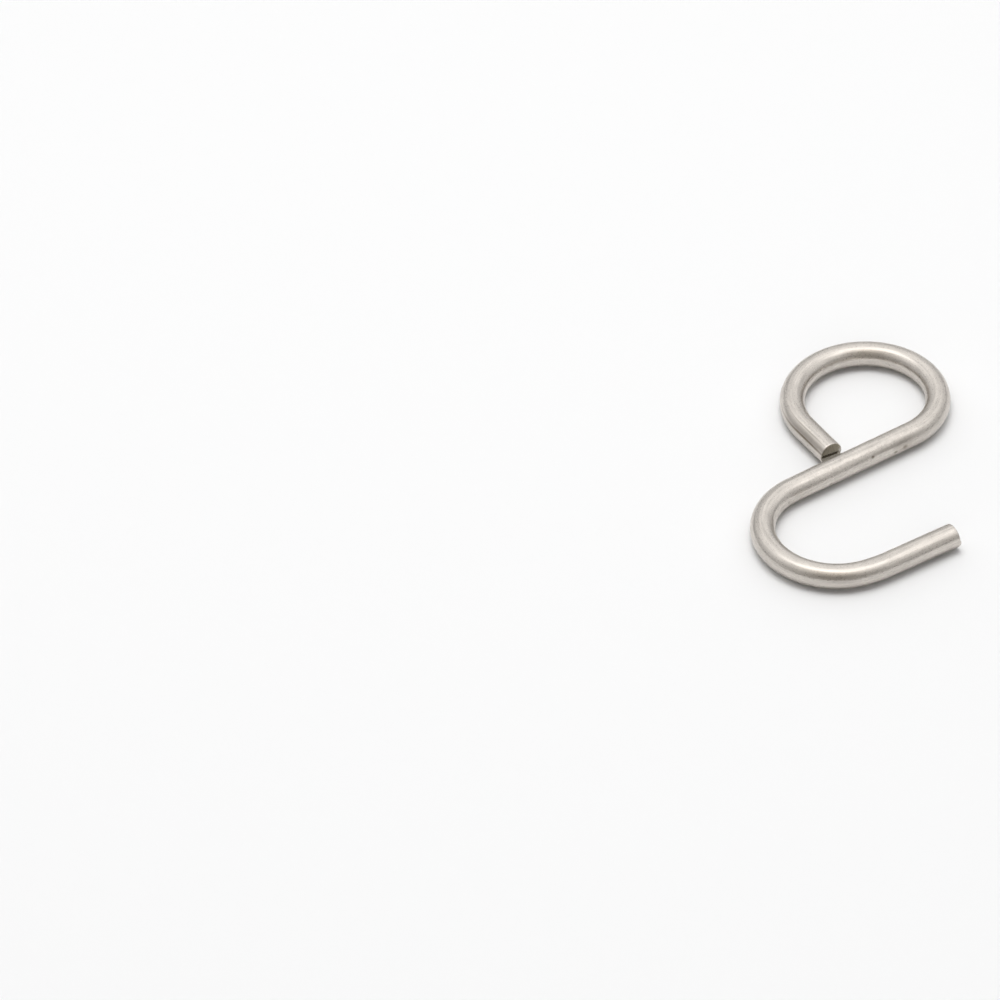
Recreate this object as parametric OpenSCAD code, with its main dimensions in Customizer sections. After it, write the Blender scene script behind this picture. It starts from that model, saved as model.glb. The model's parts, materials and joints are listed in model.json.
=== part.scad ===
// Closed-eye S hook, bent from one length of round wire, lying flat on its side.
// +Z is up and Z = 0 is the surface it lies on. The eye is at +Y and the open hook at -Y.
// The centres of the eye and the hook lie on one line along Y, the load line.

/* [Wire] */
// Diameter of the round wire
wire_d = 5; // [4:0.1:6]
// Loss of radius where the wire is drawn out round a bend
bend_thinning = 0.01; // [0.005:0.005:0.1]

/* [Eye] */
// Centre-line radius of the eye's free half, which ends at the cut end
eye_free_r = 15; // [14:0.1:16]
// Centre-line radius of the eye's other half, which runs into the shank
eye_shank_r = 13.6; // [12.8:0.1:14.6]
// Turn of the free half, from the crown of the eye to its straight end
eye_free_turn = 134; // [128:0.5:138]
// Clear gap between the eye's cut end and the shank
eye_gap = 1.7; // [1.2:0.1:3]

/* [Shank] */
// Distance from the centre of the eye to the centre of the hook
centre_distance = 40.3; // [38:0.1:46]

/* [Hook] */
// Centre-line radius of the open hook
hook_r = 14; // [12:0.1:15]
// Turn of the open hook at that radius
hook_turn = 166; // [155:0.5:172]
// Larger centre-line radius, where the hook eases out into its tail
ease_r = 27; // [20:0.5:40]
// Turn of the eased stretch
ease_turn = 12.2; // [6:0.1:16]
// Length of the straight tail
tail_len = 15.6; // [10:0.1:22]

/* [Cut ends] */
// Radius lost at the rim of each cut end, which the shears rolled over
rim_drop = 0.12; // [0.05:0.01:0.3]
// Length of that rolled rim along the wire
rim_len = 0.35; // [0.1:0.05:0.6]
// Upward lean of each cut face
face_lean = 3; // [0:0.5:6]
// Height of the shears' step off the middle of the wire
step_rise = 0.1; // [-0.5:0.05:0.5]
// Tilt of the step across the face
step_tilt = 4; // [0:0.5:8]
// Depth of the face beyond the step
step_depth = 0.15; // [0.05:0.05:0.4]
// Depth of the tear along the step
tear_depth = 0.6; // [0.3:0.05:1]
// Height of the tear's mouth
tear_height = 0.45; // [0.2:0.05:0.8]
// How far past the middle of the wire the tear runs
tear_reach = 1.4; // [0.5:0.1:2]

/* [Hidden] */
$fn = 96;

wire_r = wire_d / 2;
// Where two stretches meet, the thicker reaches this far over the thinner, so that they are one solid.
lap = 0.05;
// The same reach as a turn round a bend
lap_turn = 0.2;
// Reach of a cutter, or of wire that is still to be cut, past the cut surface
over = 1;

// Point at a distance from the origin in the direction of an angle
function polar(r, angle) = r * [cos(angle), sin(angle)];

// The shank is the common tangent that crosses the load line between the eye and the hook.
hook_centre = [0, 0];
eye_centre = hook_centre + [0, centre_distance];
free_centre = eye_centre + [0, eye_shank_r - eye_free_r];
shank_lean = asin((eye_shank_r + hook_r) / centre_distance);
shank_len = centre_distance * cos(shank_lean);
shank_normal = polar(1, -shank_lean);
shank_top = eye_centre + eye_shank_r * shank_normal;

// The eye's free end runs straight at the shank and stops short of it.
free_angle = 90 + eye_free_turn;
free_start = free_centre + polar(eye_free_r, free_angle);
free_heading = free_angle + 90;
free_reach = (shank_top - free_start) * shank_normal - wire_r - eye_gap;
free_len = free_reach / cos(free_heading + shank_lean);

// The hook, its eased stretch and its tail follow on, each tangent to the last.
hook_start_angle = 180 - shank_lean;
ease_angle = hook_start_angle + hook_turn;
ease_centre = hook_centre + polar(hook_r - ease_r, ease_angle);
tail_angle = ease_angle + ease_turn;
tail_start = ease_centre + polar(ease_r, tail_angle);
tail_heading = tail_angle + 90;
tail_end = tail_start + polar(tail_len, tail_heading);

// The hook's box, which sets the origin at the middle of its bottom face
face_rim = polar(wire_r - rim_drop, tail_heading - 90);
full_rim = polar(wire_r, tail_heading - 90) - polar(rim_len, tail_heading);
x_low = min(-eye_free_r, -hook_r) - wire_r;
x_high = max(eye_shank_r + wire_r, tail_end.x + max(face_rim.x, full_rim.x));
y_low = -hook_r - wire_r;
y_high = eye_centre.y + eye_shank_r + wire_r;
box_middle = [(x_low + x_high) / 2, (y_low + y_high) / 2];

// A stretch of wire bent about a centre, through a turn that starts at an angle. A bend that follows
// another bend is thinned twice.
module bend(centre, r, angle, turn, thinnings) {
    translate(centre)
        rotate([0, 0, angle])
            rotate_extrude(angle = turn)
                translate([r, 0])
                    circle(wire_r - thinnings * bend_thinning);
}

// A straight stretch of wire from a point along a heading, lapping over the bend behind it
module straight(start, heading, len) {
    translate(start - polar(lap, heading))
        rotate([0, 90, heading])
            cylinder(h = lap + len, r = wire_r);
}

// What a cut end has lost, placed at the end's middle with X pointing out of the wire: all that lies
// past its face, the rolled rim, the part of the face beyond the shears' step, and the tear along it
module end_loss(roll) {
    rotate([0, -face_lean, 0]) {
        translate([0, -wire_d, -wire_d])
            cube(2 * wire_d);
        rotate([0, 90, 0])
            rotate_extrude()
                polygon([
                    [wire_r - 2 * rim_drop, rim_len],
                    [wire_r + over, rim_len],
                    [wire_r + over, -2 * rim_len],
                    [wire_r + rim_drop, -2 * rim_len]
                ]);
        rotate([roll - step_tilt, 0, 0]) {
            translate([-step_depth, -wire_d, step_rise - wire_d])
                cube([wire_d, 2 * wire_d, wire_d]);
            translate([0, tear_reach, step_rise])
                rotate([90, 0, 0])
                    linear_extrude(wire_d + tear_reach)
                        polygon([
                            [over, 0],
                            [-tear_depth, 0],
                            [-step_depth, -tear_height],
                            [over, -tear_height]
                        ]);
        }
    }
}

// A straight stretch that ends in a rolled and sheared face. The face beyond the step is the lower
// part with roll at 0 and the upper part with roll at 180, as on the other half of the same cut.
module cut_straight(start, heading, len, roll) {
    difference() {
        straight(start, heading, len + over);
        translate(start + polar(len, heading))
            rotate([0, 0, heading])
                end_loss(roll);
    }
}

// The whole hook: cut end, eye, shank, open hook and tail in one piece
module s_hook() {
    color("silver")
        translate([-box_middle.x, -box_middle.y, wire_r]) {
            cut_straight(free_start, free_heading, free_len, 0);
            bend(free_centre, eye_free_r, 90 - lap_turn, eye_free_turn + lap_turn, 1);
            bend(eye_centre, eye_shank_r, -shank_lean, 90 + shank_lean, 2);
            straight(shank_top, 270 - shank_lean, shank_len + lap);
            bend(hook_centre, hook_r, hook_start_angle, hook_turn + lap_turn, 1);
            bend(ease_centre, ease_r, ease_angle, ease_turn, 2);
            cut_straight(tail_start, tail_heading, tail_len, 180);
        }
}

s_hook();
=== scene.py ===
"""An S hook of satin stainless wire, with a nearly closed eye, lying on a white table."""
import json
import math

import bmesh
import bpy
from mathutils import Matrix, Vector, noise


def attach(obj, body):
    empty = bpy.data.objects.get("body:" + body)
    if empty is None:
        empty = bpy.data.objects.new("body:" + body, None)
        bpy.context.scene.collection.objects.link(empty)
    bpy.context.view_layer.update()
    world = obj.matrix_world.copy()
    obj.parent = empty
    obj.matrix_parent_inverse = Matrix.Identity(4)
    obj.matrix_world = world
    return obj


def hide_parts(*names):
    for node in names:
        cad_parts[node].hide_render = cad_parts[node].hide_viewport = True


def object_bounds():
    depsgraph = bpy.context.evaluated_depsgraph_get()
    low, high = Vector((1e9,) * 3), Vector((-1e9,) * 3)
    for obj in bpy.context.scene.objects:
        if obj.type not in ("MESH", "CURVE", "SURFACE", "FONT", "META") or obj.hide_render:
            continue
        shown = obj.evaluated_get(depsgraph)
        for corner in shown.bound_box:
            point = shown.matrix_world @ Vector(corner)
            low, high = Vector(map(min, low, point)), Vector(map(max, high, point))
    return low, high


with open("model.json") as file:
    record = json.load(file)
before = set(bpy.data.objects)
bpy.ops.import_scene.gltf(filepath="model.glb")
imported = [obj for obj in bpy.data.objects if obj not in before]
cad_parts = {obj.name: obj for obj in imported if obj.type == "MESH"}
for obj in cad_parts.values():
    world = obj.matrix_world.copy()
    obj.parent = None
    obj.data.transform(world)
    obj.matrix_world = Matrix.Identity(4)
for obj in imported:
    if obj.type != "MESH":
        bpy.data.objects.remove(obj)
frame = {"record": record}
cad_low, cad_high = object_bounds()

MM = 0.001
UP = Vector((0.0, 0.0, 1.0))

# The wire's path, with the same driving dimensions as the CAD solid
WIRE_R = cad_high.z / 2
EYE_FREE_R = 15.0 * MM
EYE_SHANK_R = 13.6 * MM
EYE_FREE_TURN = math.radians(134)
EYE_GAP = 1.7 * MM
CENTRE_DISTANCE = 40.3 * MM
HOOK_R = 14.0 * MM
HOOK_TURN = math.radians(166)
EASE_R = 27.0 * MM
EASE_TURN = math.radians(12.2)
TAIL_LEN = 15.6 * MM
SHANK_LEAN = math.asin((EYE_SHANK_R + HOOK_R) / CENTRE_DISTANCE)
SHANK_LEN = CENTRE_DISTANCE * math.cos(SHANK_LEAN)

# The cut ends. The rim loses a hair more than the CAD solid's, because it is round where that one is flat.
RIM_DROP = 0.135 * MM
RIM_LEN = 0.35 * MM
FACE_LEAN = math.radians(3)
STEP_RISE = 0.1 * MM
STEP_TILT = math.radians(4)
STEP_DEPTH = 0.15 * MM
STEP_EDGE = 0.08 * MM
# The tear runs along the step, from just inside the rim to where it fades out short of the burr.
TEAR_DEPTH = 0.6 * MM
TEAR_HEIGHT = 0.45 * MM
TEAR_FROM = -2.25 * MM
TEAR_REACH = 1.4 * MM
TEAR_FADE = 0.3 * MM
# A burr stands off the face by the tear's end, with a painted glint that fades out past its width, and the
# whole face is a little rough.
BURR_ACROSS = 2.0 * MM
BURR_RISE = 0.45 * MM
BURR_WIDTH = 0.3 * MM
BURR_HEIGHT = 0.12 * MM
BURR_FADE = 1.5
FACE_ROUGHNESS = 0.04 * MM
FACE_GRAIN = 0.25 * MM
FACE_GRAIN_STRETCH = 0.3

# Loss of width where the wire is drawn out round its bends
BEND_THINNING = 0.02 * MM

# Grid of the swept surface
RING_SPACING = 0.42 * MM
AROUND = 192
RIM_RINGS = 5
FACE_COLUMNS = 48
END_LEN = 1.2 * MM

# The metal's colours: the wire; its stains, also used for painted dark reflection lines on the eye's free
# end; the two parts of a cut face, the one beyond the step painted a little lighter for the light it mirrors;
# painted shade in the tear; and a painted glint on the burr
STEEL = (0.60, 0.56, 0.515, 1.0)
STAIN_AND_DARK_REFLECTION = (0.20, 0.165, 0.13, 1.0)
FACE_DARK = (0.22, 0.205, 0.16, 1.0)
FACE_LIGHT = (0.74, 0.70, 0.60, 1.0)
BEYOND_DARK = (0.30, 0.275, 0.23, 1.0)
BEYOND_LIGHT = (0.70, 0.66, 0.59, 1.0)
TEAR_SHADE_COLOUR = (0.09, 0.078, 0.058, 1.0)
BURR_GLINT_COLOUR = (0.85, 0.83, 0.80, 1.0)

# Values between which a noise mostly stays
NOISE_LOW = 0.3
NOISE_HIGH = 0.7

# The satin finish: the sizes of its features, their scale along the wire, how much they shade the metal,
# and their relief. A small scale draws a feature out.
SATIN = 0.30
SATIN_SPREAD = 0.04
GRAIN = 0.22 * MM
GRAIN_ALONG = 0.4
GRAIN_SHADE = 0.05
GRAIN_RELIEF = 0.006 * MM
MOTTLE = 0.9 * MM
MOTTLE_ALONG = 0.35
MOTTLE_SHADE = 0.07
LINE = 0.45 * MM
LINE_ALONG = 0.04
LINE_SHADE = 0.13
LINE_RELIEF = 0.012 * MM
RIB = 0.42 * MM
RIB_ROUND = 0.4
RIB_SHADE = 0.055
RIB_RELIEF = 0.010 * MM

# The straight shank, along the wire from the eye's cut end, where fine ribs cross the wire
SHANK_FROM = 73 * MM
SHANK_TO = 102 * MM
SHANK_FADE = 4 * MM

# Marks on the wire, as (place along it in mm, angle round it in degrees, half length and half width in
# mm, strength). The angle is 0 at the outer side of the eye and 90 on top.
MARKS = (
    # The first three, long and thin along the eye's free end, are painted dark reflection lines, one of them
    # wide and soft; the rest are stains and smudges.
    (6.5, 20, 11.0, 0.33, 0.8),
    (5.0, 36, 10.0, 1.10, 0.30),
    (7.0, 59, 9.0, 0.17, 0.45),
    (87.0, 27, 0.5, 0.38, 0.85),
    (79.5, 16, 3.6, 1.7, 0.24),
    (79.2, 2, 0.8, 0.6, 0.5),
    (81.5, -4, 0.6, 0.5, 0.5),
    (84.5, 34, 3.0, 0.4, 0.22),
    (97.4, -13, 0.7, 0.4, 0.45),
    (108.6, 3, 0.4, 0.4, 0.5),
)
# Share of a mark that has its full strength, and its ragged edge, roughness and relief
MARK_CORE = 0.35
RAGGED = 0.3 * MM
RAGGED_REACH = 0.15 * MM
MARK_ROUGHNESS = 0.2
MARK_RELIEF = 0.006 * MM

# The cut faces' dragged finish, and how far the painted shade in the tear reaches above and below the step's
# edge
FACE_SATIN = 0.42
DRAG = 0.3 * MM
DRAG_UP = 0.25
DRAG_RELIEF = 0.03 * MM
TEAR_SHADE_ABOVE = 0.18 * MM
TEAR_SHADE_BELOW = 0.5 * MM
TEAR_SHADE_RAGGED = 0.12 * MM

# The camera, looking at the middle of the picture on the table
VIEW_ELEVATION = math.radians(40.85)
VIEW_AZIMUTH = math.radians(11.51)
VIEW_DISTANCE = 1.625
VIEW_AIM = Vector((-69.7, -21.7, 0.0)) * MM
LENS_MM = 298.9
SENSOR_MM = 36.0

# The table, and the white that shows past it
FLOOR_SIZE = 8.0
FLOOR_COLOUR = (0.88, 0.88, 0.88, 1.0)
BACKDROP_COLOUR = (0.95, 0.95, 0.95, 1.0)

# Light level of the room that the wire mirrors, by height from the horizon at 0 to overhead at 1, on its
# far side and on the camera's side, which is warmer and takes up the smaller part of the way round
FAR_LEVELS = (
    (0.0, 0.25), (0.13, 0.45), (0.26, 0.9), (0.42, 0.7), (0.62, 1.25), (0.8, 1.1), (1.0, 1.35),
)
CAMERA_LEVELS = (
    (0.0, 0.12), (0.13, 0.35), (0.26, 0.22), (0.42, 0.3), (0.6, 0.33), (0.8, 0.5), (1.0, 1.3),
)
CAMERA_FOCUS = 3.0
CAMERA_TINT = (1.0, 0.94, 0.86)

# The softbox overhead, long from left to right, which the wire mirrors with the room
SOFTBOX = {"size": (1.7, 0.64), "power": 2.6, "away": 0.0, "right": 0.0, "height": 1.2}
# The lamps that light the table, which the wire doesn't mirror: one high up, a wide one beyond the hook,
# and a weak one on the camera's side
KEY = {"size": (0.8, 0.8), "power": 8.5, "away": 0.1, "right": -0.1, "height": 1.3}
FILL = {"size": (7.0, 5.0), "power": 102.0, "away": 1.0, "right": -0.1, "height": 1.6}
FRONT = {"size": (3.0, 1.2), "power": 12.0, "away": -2.0, "right": 0.2, "height": 0.9}


# ---------------------------------------------------------------------------------------------
# Geometry
# ---------------------------------------------------------------------------------------------

def along(angle):
    """Unit vector on the table in the direction of an angle"""
    return Vector((math.cos(angle), math.sin(angle), 0.0))


def walk(start, heading, stretches):
    """Points and headings of a path of (length, turn) stretches, each tangent to the last"""
    stations = [(start, heading)]
    for length, turn in stretches:
        steps = max(1, round(length / RING_SPACING))
        origin, first = stations[-1]
        for i in range(1, steps + 1):
            share = i / steps
            if turn:
                radius = length / turn
                centre = origin + radius * along(first + math.pi / 2)
                bent = first + turn * share
                point = centre - radius * along(bent + math.pi / 2)
            else:
                bent = first
                point = origin + length * share * along(first)
            stations.append((point, bent))
    return stations


def wire_path():
    """Stations on the wire's axis, as (point, heading), from the eye's cut end to the tail's"""
    eye = next(m for m in frame["record"]["mounts"] if m["name"] == "eye")
    crown = Vector(eye["pos_m"]) + Vector((0.0, (EYE_FREE_R + EYE_SHANK_R) / 2, 0.0))
    crown.z = WIRE_R
    free_centre = crown - Vector((0.0, EYE_FREE_R, 0.0))
    eye_centre = crown - Vector((0.0, EYE_SHANK_R, 0.0))
    free_start = free_centre + EYE_FREE_R * along(math.pi / 2 + EYE_FREE_TURN)
    free_heading = math.pi + EYE_FREE_TURN
    shank_normal = along(-SHANK_LEAN)
    shank_top = eye_centre + EYE_SHANK_R * shank_normal
    reach = (shank_top - free_start).dot(shank_normal) - WIRE_R - EYE_GAP
    free_len = reach / math.cos(free_heading + SHANK_LEAN)
    free_half = walk(crown, math.pi, [(EYE_FREE_R * EYE_FREE_TURN, EYE_FREE_TURN), (free_len, 0.0)])
    turned_back = [(point, heading - math.pi) for point, heading in reversed(free_half)]
    shank_turn = math.pi / 2 + SHANK_LEAN
    rest = walk(crown, 0.0, [
        (EYE_SHANK_R * shank_turn, -shank_turn),
        (SHANK_LEN, 0.0),
        (HOOK_R * HOOK_TURN, HOOK_TURN),
        (EASE_R * EASE_TURN, EASE_TURN),
        (TAIL_LEN, 0.0),
    ])
    return turned_back + rest[1:]


def smooth(x):
    """Smooth step from 0 to 1"""
    x = min(1.0, max(0.0, x))
    return x * x * (3 - 2 * x)


def face_depth(across, rise):
    """Depth that a cut face has lost at a place on it. across points to the inner side of the eye's end,
    and rise points away from the part beyond the step."""
    below = STEP_RISE - rise - across * math.tan(STEP_TILT)
    beyond = smooth(below / STEP_EDGE)
    mouth = smooth((across - TEAR_FROM) / TEAR_FADE) * (1 - smooth((across - TEAR_REACH) / TEAR_FADE))
    tear = beyond * max(0.0, 1 - below / TEAR_HEIGHT) * mouth
    burr = math.exp(-((across - BURR_ACROSS) ** 2 + (rise - BURR_RISE) ** 2) / BURR_WIDTH ** 2)
    rough = 0.5 + 0.5 * noise.noise(Vector((across, rise * FACE_GRAIN_STRETCH, 0.0)) / FACE_GRAIN)
    lost = beyond * STEP_DEPTH + tear * (TEAR_DEPTH - STEP_DEPTH) + rough * FACE_ROUGHNESS
    return lost - burr * BURR_HEIGHT


def wire_mesh(stations):
    """The wire as a closed mesh: rings along the path, a rolled rim and a gridded face at each end"""
    bm = bmesh.new()
    unbent = bm.verts.layers.float_vector.new("unbent")
    cut = bm.verts.layers.float_vector.new("cut")
    run = [0.0]
    for (a, _), (b, _) in zip(stations, stations[1:]):
        run.append(run[-1] + (b - a).length)
    total = run[-1]
    angles = [2 * math.pi * i / AROUND for i in range(AROUND)]

    def vertex(length, side, up, point, heading):
        left = along(heading + math.pi / 2)
        vert = bm.verts.new(point + side * left + up * UP)
        vert[unbent] = Vector((side, up, length))
        return vert

    def cut_end(length, point, heading, sign, roll):
        """Rim loops of one end, after its face is made. sign is -1 where the path starts and 1 where it ends.
        roll is 1 where the part beyond the step is the lower one and -1 where it is the upper one."""
        out = along(heading) * sign

        def end_vertex(side, up, back):
            across, rise = side * sign * roll, up * roll
            back += face_depth(across, rise) + up * math.tan(FACE_LEAN)
            vert = vertex(length - sign * back, side, up, point - out * back, heading)
            vert[cut] = Vector((across, rise, 0.0))
            return vert

        loops = []
        for k in range(RIM_RINGS + 1):
            share = k / RIM_RINGS * math.pi / 2
            radius = WIRE_R - RIM_DROP * (1 - math.cos(share))
            back = RIM_LEN * (1 - math.sin(share))
            wide = radius - BEND_THINNING
            loops.append([end_vertex(wide * math.cos(t), radius * math.sin(t), back) for t in angles])
        rim = loops[-1]
        half, quarter = AROUND // 2, AROUND // 4
        rows = []
        for k in range(1, half):
            right, left = rim[(k - quarter) % AROUND], rim[(half - k + quarter) % AROUND]
            start, end = right[unbent].copy(), left[unbent].copy()
            row = [right]
            for c in range(1, FACE_COLUMNS):
                place = start.lerp(end, c / FACE_COLUMNS)
                row.append(end_vertex(place.x, place.y, 0.0))
            rows.append(row + [left])
        bottom, top = rim[-quarter % AROUND], rim[quarter]
        faces = []
        for c in range(FACE_COLUMNS):
            faces.append(bm.faces.new((bottom, rows[0][c], rows[0][c + 1])))
            faces.append(bm.faces.new((top, rows[-1][c + 1], rows[-1][c])))
        for low, high in zip(rows, rows[1:]):
            for c in range(FACE_COLUMNS):
                faces.append(bm.faces.new((low[c], high[c], high[c + 1], low[c + 1])))
        for face in faces:
            face.material_index = 1
        return loops

    def body_ring(length, point, heading):
        wide = WIRE_R - BEND_THINNING
        return [vertex(length, wide * math.cos(t), WIRE_R * math.sin(t), point, heading) for t in angles]

    rings = list(reversed(cut_end(0.0, *stations[0], -1, 1)))
    for length, (point, heading) in zip(run, stations):
        if END_LEN < length < total - END_LEN:
            rings.append(body_ring(length, point, heading))
    rings += cut_end(total, *stations[-1], 1, -1)
    for a, b in zip(rings, rings[1:]):
        for i in range(AROUND):
            j = (i + 1) % AROUND
            bm.faces.new((a[i], a[j], b[j], b[i]))
    bmesh.ops.recalc_face_normals(bm, faces=bm.faces)
    for face in bm.faces:
        face.smooth = True
    mesh = bpy.data.meshes.new("s_hook_wire")
    bm.to_mesh(mesh)
    bm.free()
    return mesh


# ---------------------------------------------------------------------------------------------
# Materials
# ---------------------------------------------------------------------------------------------

class Nodes:
    """A short way to add and link shader nodes"""

    def __init__(self, tree):
        self.tree = tree

    def add(self, kind, inputs=None, **settings):
        node = self.tree.nodes.new("ShaderNode" + kind)
        for key, value in settings.items():
            setattr(node, key, value)
        for key, value in (inputs or {}).items():
            if isinstance(value, bpy.types.NodeSocket):
                self.tree.links.new(value, node.inputs[key])
            else:
                node.inputs[key].default_value = value
        return node

    def math(self, operation, first, second):
        return self.add("Math", {0: first, 1: second}, operation=operation).outputs["Value"]

    def vector(self, operation, first, second, output="Vector"):
        return self.add("VectorMath", {0: first, 1: second}, operation=operation).outputs[output]

    def scaled(self, vector, factor):
        node = self.add("VectorMath", {0: vector, "Scale": factor}, operation="SCALE")
        return node.outputs["Vector"]

    def ramp(self, value, start, end, low, high):
        """Value that goes from low to high as another goes from start to end"""
        limits = {"Value": value, "From Min": start, "From Max": end, "To Min": low, "To Max": high}
        return self.add("MapRange", limits).outputs["Result"]

    def noise(self, place, scales, size, detail):
        """Noise from 0 to 1 with features of about a size, drawn out where an axis has a small scale"""
        stretched = self.vector("MULTIPLY", place, scales)
        inputs = {"Vector": stretched, "Scale": 1 / size, "Detail": detail}
        return self.add("TexNoise", inputs).outputs["Fac"]

    def spread(self, noise_value, low, high):
        """Value that goes from low to high over the range that a noise mostly keeps to"""
        return self.ramp(noise_value, NOISE_LOW, NOISE_HIGH, low, high)

    def noise_vector(self, place, size, reach):
        """Offset of up to half a reach each way, to make a clean outline ragged"""
        inputs = {"Vector": place, "Scale": 1 / size, "Detail": 2.0}
        colour = self.add("TexNoise", inputs).outputs["Color"]
        return self.scaled(self.vector("SUBTRACT", colour, (0.5, 0.5, 0.5)), reach)

    def mix(self, share, first, second):
        """Colour between two colours"""
        node = self.add("Mix", {"Factor": share}, data_type="RGBA")
        for socket, colour in zip([s for s in node.inputs if s.type == "RGBA"], (first, second)):
            if isinstance(colour, bpy.types.NodeSocket):
                self.tree.links.new(colour, socket)
            else:
                socket.default_value = colour
        return next(s for s in node.outputs if s.type == "RGBA")

    def metal(self, colour, roughness, relief):
        """Bare metal with a relief in metres, as the material's surface"""
        bump = self.add("Bump", {"Height": relief, "Strength": 1.0, "Distance": 1.0}).outputs["Normal"]
        inputs = {"Base Color": colour, "Metallic": 1.0, "Roughness": roughness, "Normal": bump}
        shader = self.add("BsdfPrincipled", inputs)
        self.add("OutputMaterial", {"Surface": shader.outputs["BSDF"]})


def new_material(name):
    material = bpy.data.materials.new(name)
    material.use_nodes = True
    material.node_tree.nodes.clear()
    return material, Nodes(material.node_tree)


def mark_strength(nodes, place):
    """Strength of the marks at a place on the wire, added up"""
    ragged = nodes.vector("ADD", place, nodes.noise_vector(place, RAGGED, RAGGED_REACH))
    total = 0.0
    for at, angle, half_length, half_width, strength in MARKS:
        middle = along(math.radians(angle)) * WIRE_R
        middle.z = at * MM
        scales = (1 / (half_width * MM), 1 / (half_width * MM), 1 / (half_length * MM))
        off = nodes.vector("MULTIPLY", nodes.vector("SUBTRACT", ragged, middle), scales)
        away = nodes.add("VectorMath", {0: off}, operation="LENGTH").outputs["Value"]
        total = nodes.math("ADD", nodes.ramp(away, MARK_CORE, 1.0, strength, 0.0), total)
    return total


def satin_steel():
    """Drawn stainless wire, tumbled to a satin grain, with the lines of its drawing, its stains, and painted
    dark reflection lines on the eye's free end
    """
    material, nodes = new_material("satin_steel")
    place = nodes.add("Attribute", attribute_name="unbent").outputs["Vector"]
    length = nodes.add("SeparateXYZ", {"Vector": place}).outputs["Z"]

    grain = nodes.noise(place, (1.0, 1.0, GRAIN_ALONG), GRAIN, detail=3.0)
    mottle = nodes.noise(place, (1.0, 1.0, MOTTLE_ALONG), MOTTLE, detail=3.0)
    lines = nodes.noise(place, (1.0, 1.0, LINE_ALONG), LINE, detail=4.0)
    ribs = nodes.noise(place, (RIB_ROUND, RIB_ROUND, 1.0), RIB, detail=2.0)
    after_start = nodes.ramp(length, SHANK_FROM, SHANK_FROM + SHANK_FADE, 0.0, 1.0)
    before_end = nodes.ramp(length, SHANK_TO, SHANK_TO + SHANK_FADE, 1.0, 0.0)
    on_shank = nodes.math("MULTIPLY", after_start, before_end)
    ribs = nodes.math("MULTIPLY", nodes.spread(ribs, -1.0, 1.0), on_shank)
    stain_and_dark_reflection = mark_strength(nodes, place)

    shade = nodes.math("ADD", nodes.spread(lines, -LINE_SHADE, LINE_SHADE), 1.0)
    shade = nodes.math("ADD", nodes.spread(grain, -GRAIN_SHADE, GRAIN_SHADE), shade)
    shade = nodes.math("ADD", nodes.spread(mottle, -MOTTLE_SHADE, MOTTLE_SHADE), shade)
    shade = nodes.math("ADD", nodes.math("MULTIPLY", ribs, RIB_SHADE), shade)
    # The stains, and the painted dark reflection lines on the eye's free end, darken the colour here
    colour = nodes.mix(stain_and_dark_reflection, nodes.scaled(STEEL[:3], shade), STAIN_AND_DARK_REFLECTION)
    roughness = nodes.spread(grain, SATIN - SATIN_SPREAD, SATIN + SATIN_SPREAD)
    roughness = nodes.math("ADD", roughness, nodes.math("MULTIPLY", stain_and_dark_reflection, MARK_ROUGHNESS))

    relief = nodes.math("MULTIPLY", grain, GRAIN_RELIEF)
    relief = nodes.math("ADD", nodes.math("MULTIPLY", lines, LINE_RELIEF), relief)
    relief = nodes.math("ADD", nodes.math("MULTIPLY", ribs, RIB_RELIEF), relief)
    relief = nodes.math("SUBTRACT", relief, nodes.math("MULTIPLY", stain_and_dark_reflection, MARK_RELIEF))
    nodes.metal(colour, roughness, relief)
    return material


def sheared_steel():
    """The bare face that the shears left: dragged and dull, with painted shade in the tear and a painted
    glint on the burr
    """
    material, nodes = new_material("sheared_steel")
    place = nodes.add("Attribute", attribute_name="cut").outputs["Vector"]
    split = nodes.add("SeparateXYZ", {"Vector": place}).outputs
    across, rise = split["X"], split["Y"]
    drag = nodes.noise(place, (1.0, DRAG_UP, 1.0), DRAG, detail=4.0)
    below = nodes.math("SUBTRACT", STEP_RISE, rise)
    below = nodes.math("SUBTRACT", below, nodes.math("MULTIPLY", across, math.tan(STEP_TILT)))
    beyond = nodes.ramp(below, 0.0, STEP_EDGE, 0.0, 1.0)

    ragged = nodes.math("ADD", below, nodes.spread(drag, -TEAR_SHADE_RAGGED, TEAR_SHADE_RAGGED))
    limits = (
        nodes.ramp(ragged, -TEAR_SHADE_ABOVE, STEP_EDGE - TEAR_SHADE_ABOVE, 0.0, 1.0),
        nodes.ramp(below, TEAR_SHADE_BELOW, TEAR_SHADE_BELOW + 2 * STEP_EDGE, 1.0, 0.0),
        nodes.ramp(across, TEAR_REACH, TEAR_REACH + TEAR_FADE, 1.0, 0.0),
        nodes.ramp(across, TEAR_FROM, TEAR_FROM + TEAR_FADE, 0.0, 1.0),
    )
    # Painted shade: the tear and a band along the step's edge are darkened where the recess lies in shadow
    tear = limits[0]
    for limit in limits[1:]:
        tear = nodes.math("MULTIPLY", tear, limit)
    # Painted glint: the burr is made brighter than the steel round it
    from_burr = nodes.vector("DISTANCE", place, (BURR_ACROSS, BURR_RISE, 0.0), output="Value")
    burr = nodes.ramp(from_burr, BURR_WIDTH, BURR_WIDTH * BURR_FADE, 1.0, 0.0)

    near_part = nodes.mix(drag, FACE_DARK, FACE_LIGHT)
    # The part beyond the step has its own colour range, a little lighter at its dark end: painted light for
    # the light it mirrors
    far_part = nodes.mix(drag, BEYOND_DARK, BEYOND_LIGHT)
    colour = nodes.mix(tear, nodes.mix(beyond, near_part, far_part), TEAR_SHADE_COLOUR)
    colour = nodes.mix(burr, colour, BURR_GLINT_COLOUR)
    nodes.metal(colour, FACE_SATIN, nodes.math("MULTIPLY", drag, DRAG_RELIEF))
    return material


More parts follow.
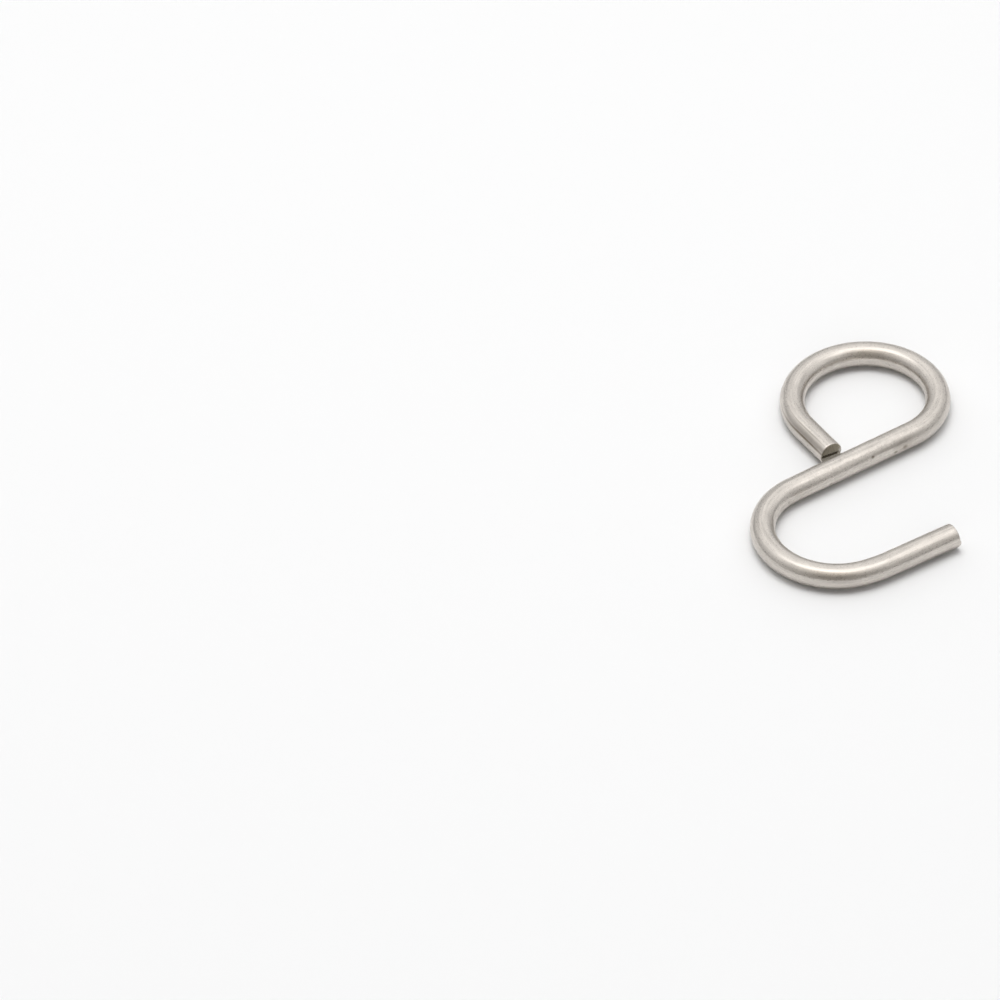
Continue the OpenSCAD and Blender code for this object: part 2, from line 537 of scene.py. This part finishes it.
# ---------------------------------------------------------------------------------------------
# Scene
# ---------------------------------------------------------------------------------------------

def build_hook():
    hook = bpy.data.objects.new("wire_hook", wire_mesh(wire_path()))
    bpy.context.scene.collection.objects.link(hook)
    hook.data.materials.append(satin_steel())
    hook.data.materials.append(sheared_steel())
    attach(hook, "root")
    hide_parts("s_hook")


def build_floor():
    mesh = bpy.data.meshes.new("floor")
    half = FLOOR_SIZE / 2
    corners = [(-half, -half, 0), (half, -half, 0), (half, half, 0), (-half, half, 0)]
    mesh.from_pydata(corners, [], [(0, 1, 2, 3)])
    floor = bpy.data.objects.new("floor", mesh)
    bpy.context.scene.collection.objects.link(floor)
    material, nodes = new_material("table_white")
    shader = nodes.add("BsdfDiffuse", {"Color": FLOOR_COLOUR})
    nodes.add("OutputMaterial", {"Surface": shader.outputs["BSDF"]})
    mesh.materials.append(material)


def light_by_height(nodes, height, levels, tint=(1.0, 1.0, 1.0)):
    """Light colour by height, from the horizon at 0 to overhead at 1"""
    node = nodes.add("ValToRGB", {"Fac": height})
    elements = node.color_ramp.elements
    while len(elements) < len(levels):
        elements.new(1.0)
    for element, (place, level) in zip(elements, levels):
        element.position = place
        element.color = (level * tint[0], level * tint[1], level * tint[2], 1.0)
    return node.outputs["Color"]


def build_world():
    """A studio room for the wire to mirror, bright beyond the hook and dark behind the camera, and plain
    white where the camera sees past the table. It lights nothing else."""
    world = bpy.data.worlds.new("studio")
    bpy.context.scene.world = world
    world.use_nodes = True
    world.node_tree.nodes.clear()
    nodes = Nodes(world.node_tree)
    way = nodes.add("TexCoord").outputs["Generated"]
    height = nodes.add("SeparateXYZ", {"Vector": way}).outputs["Z"]
    level_way = nodes.vector("MULTIPLY", way, (1.0, 1.0, 0.0))
    level_way = nodes.add("VectorMath", {0: level_way}, operation="NORMALIZE").outputs["Vector"]
    camera_way = along(VIEW_AZIMUTH - math.pi / 2)
    facing = nodes.vector("DOT_PRODUCT", level_way, camera_way, output="Value")
    share = nodes.math("POWER", nodes.ramp(facing, -1.0, 1.0, 0.0, 1.0), CAMERA_FOCUS)
    far_side = light_by_height(nodes, height, FAR_LEVELS)
    camera_side = light_by_height(nodes, height, CAMERA_LEVELS, CAMERA_TINT)
    room = nodes.add("Background", {"Color": nodes.mix(share, far_side, camera_side)})
    white = nodes.add("Background", {"Color": BACKDROP_COLOUR})
    seen = nodes.add("LightPath").outputs["Is Camera Ray"]
    both = {"Fac": seen, 1: room.outputs["Background"], 2: white.outputs["Background"]}
    mixed = nodes.add("MixShader", both)
    nodes.add("OutputWorld", {"Surface": mixed.outputs["Shader"]})
    world.cycles_visibility.diffuse = False


def build_lamp(name, lamp, mirrored):
    """A rectangular lamp that faces the hook, placed by its distance away from and to the right of the
    camera's view of it. A mirrored lamp shows in the wire, and the others light the table."""
    data = bpy.data.lights.new(name, "AREA")
    data.shape = "RECTANGLE"
    data.size, data.size_y = lamp["size"]
    data.energy = lamp["power"]
    light = bpy.data.objects.new(name, data)
    bpy.context.scene.collection.objects.link(light)
    away = along(VIEW_AZIMUTH + math.pi / 2)
    right = along(VIEW_AZIMUTH)
    light.location = lamp["away"] * away + lamp["right"] * right + lamp["height"] * UP
    light.rotation_euler = light.location.to_track_quat("Z", "Y").to_euler()
    light.visible_glossy = mirrored
    light.visible_diffuse = not mirrored


def build_camera():
    data = bpy.data.cameras.new("camera")
    data.lens = LENS_MM
    data.sensor_width = SENSOR_MM
    data.clip_start, data.clip_end = 0.05, 50.0
    camera = bpy.data.objects.new("camera", data)
    bpy.context.scene.collection.objects.link(camera)
    level = along(VIEW_AZIMUTH - math.pi / 2) * math.cos(VIEW_ELEVATION)
    camera.location = VIEW_AIM + VIEW_DISTANCE * (level + UP * math.sin(VIEW_ELEVATION))
    camera.rotation_euler = (math.pi / 2 - VIEW_ELEVATION, 0.0, VIEW_AZIMUTH)
    bpy.context.scene.camera = camera


build_hook()
build_floor()
build_world()
build_lamp("softbox", SOFTBOX, True)
build_lamp("key", KEY, False)
build_lamp("fill", FILL, False)
build_lamp("front", FRONT, False)
build_camera()
bpy.context.scene.view_settings.view_transform = "Standard"
